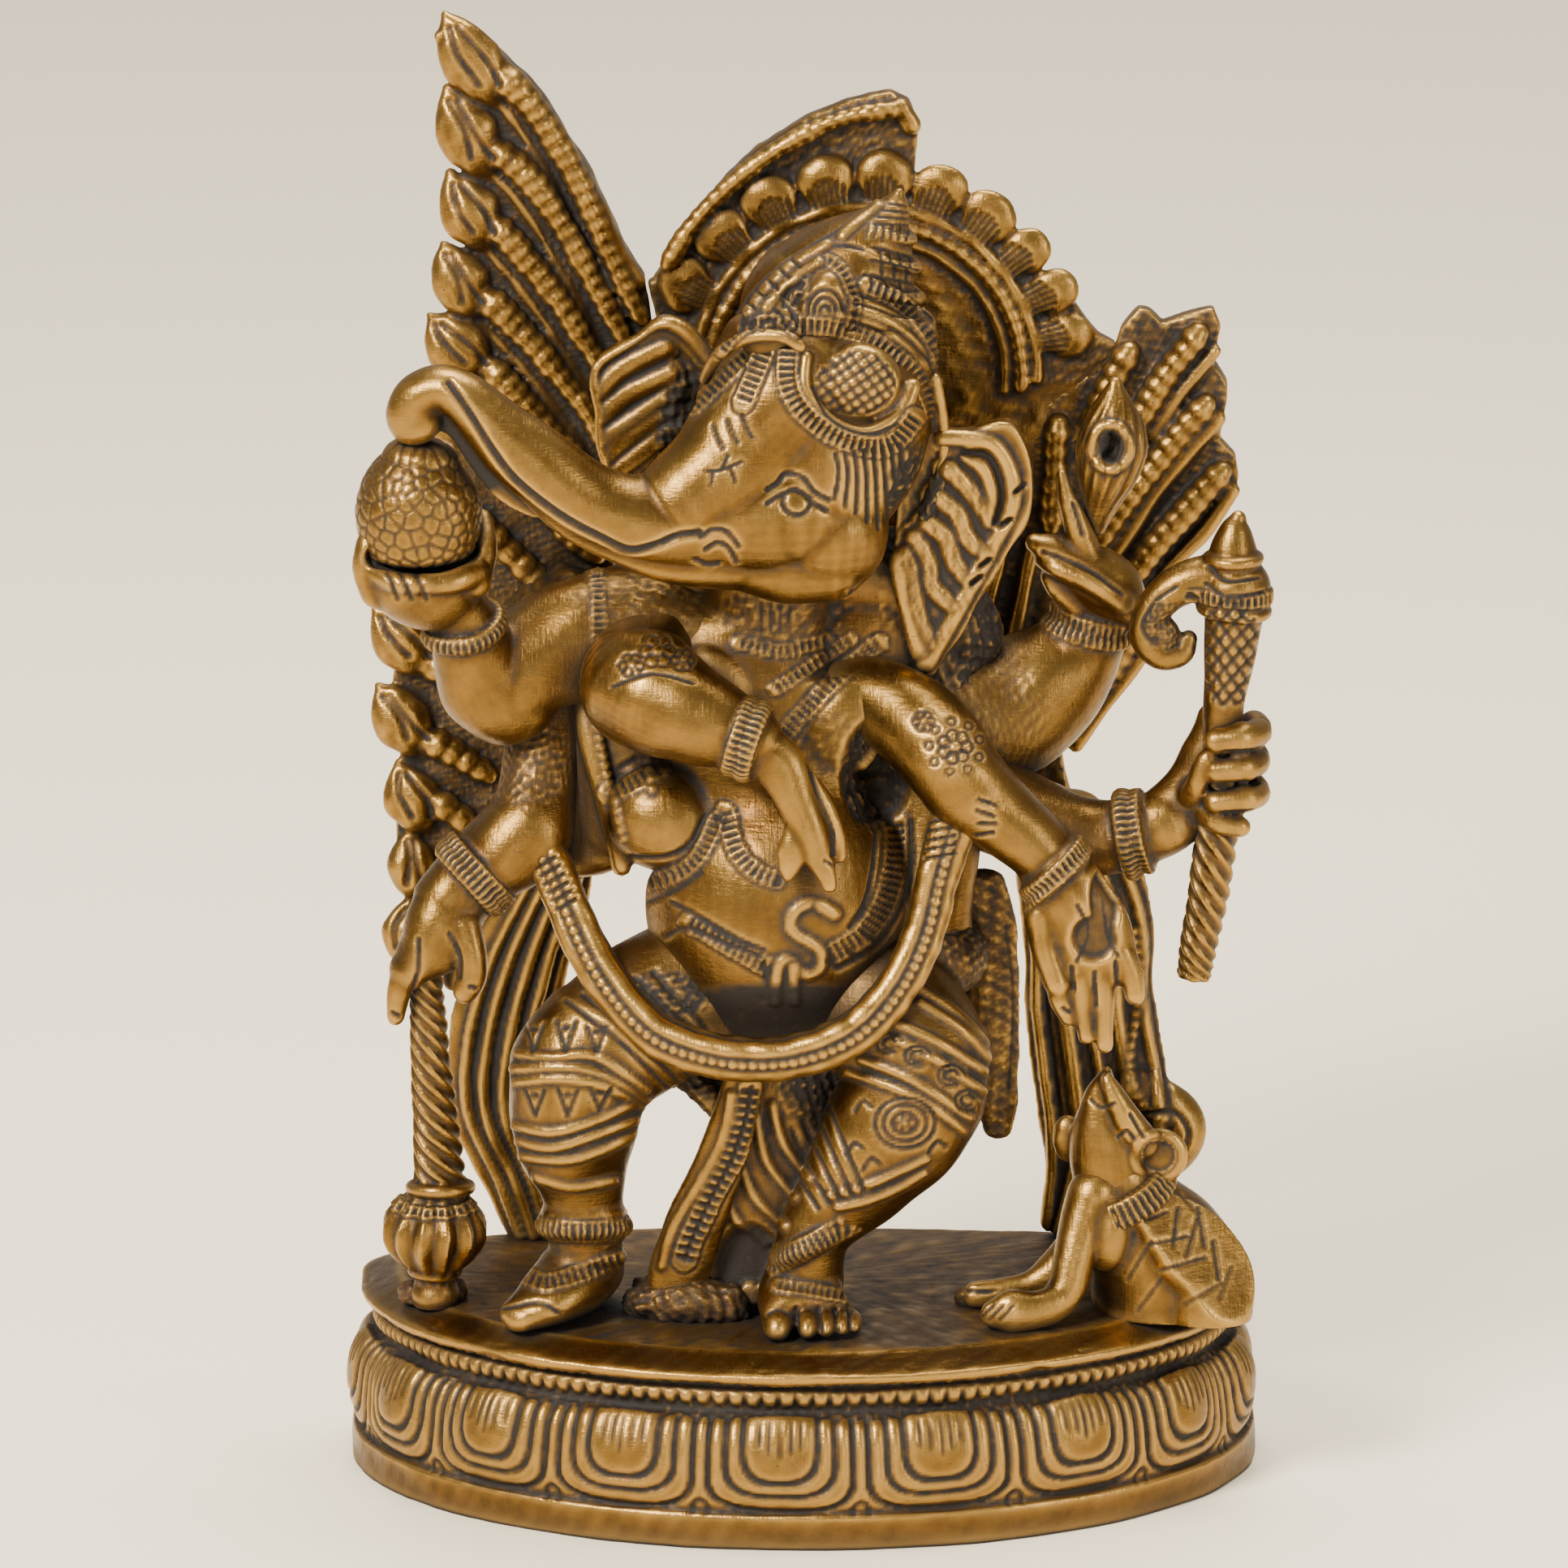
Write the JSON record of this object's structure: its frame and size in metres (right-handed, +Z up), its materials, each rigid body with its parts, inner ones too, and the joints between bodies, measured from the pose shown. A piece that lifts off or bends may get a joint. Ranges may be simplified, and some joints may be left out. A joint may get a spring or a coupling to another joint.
{
  "type": "brass deity statue",
  "caption": "Cast brass statue of an elephant-headed deity dancing with several arms, before a halo and feather fans, with a mouse beside it on an oval lotus plinth.",
  "frame": {"origin": "middle of the plinth's foot, on the surface that it stands on", "axes": "+Z up, -Y to the front that the figure faces, +X to the right as seen from the front"},
  "size_m": [0.1588, 0.0834, 0.254],
  "materials": {
    "cast_brass": "antique cast brass, brushed on the high spots, dark patina in the recesses",
    "polished_brass": "antique brass, filed and buffed bright on the skin, dark in the chased lines",
    "aged_brass": "antique brass with a dark ground between bright beaded ribs",
    "brazing_metal": "rough brazing metal, pitted and dark"
  },
  "bodies": {
    "root": {"plinth": "cast_brass", "halo": "aged_brass", "left_tail_fan": "aged_brass", "right_tail_fan": "aged_brass", "left_scarf_tail": "aged_brass", "right_scarf_tail": "aged_brass", "torso": "cast_brass", "head_and_trunk": "polished_brass", "crown": "cast_brass", "left_ear": "cast_brass", "right_ear": "cast_brass", "raised_left_arm": "cast_brass", "sweet_heap": "polished_brass", "crossing_arm": "polished_brass", "lower_left_arm": "cast_brass", "mace": "polished_brass", "front_right_arm": "polished_brass", "raised_right_arm": "cast_brass", "flower_bud": "cast_brass", "goad_arm": "cast_brass", "goad": "polished_brass", "sash": "polished_brass", "left_leg": "cast_brass", "right_leg": "cast_brass", "waist_pleat": "cast_brass", "side_cloth": "cast_brass", "mouse_body": "polished_brass", "mouse_head": "polished_brass", "mouse_collar": "polished_brass", "back_lugs": "brazing_metal", "brazing": "brazing_metal"}
  },
  "joints": []
}
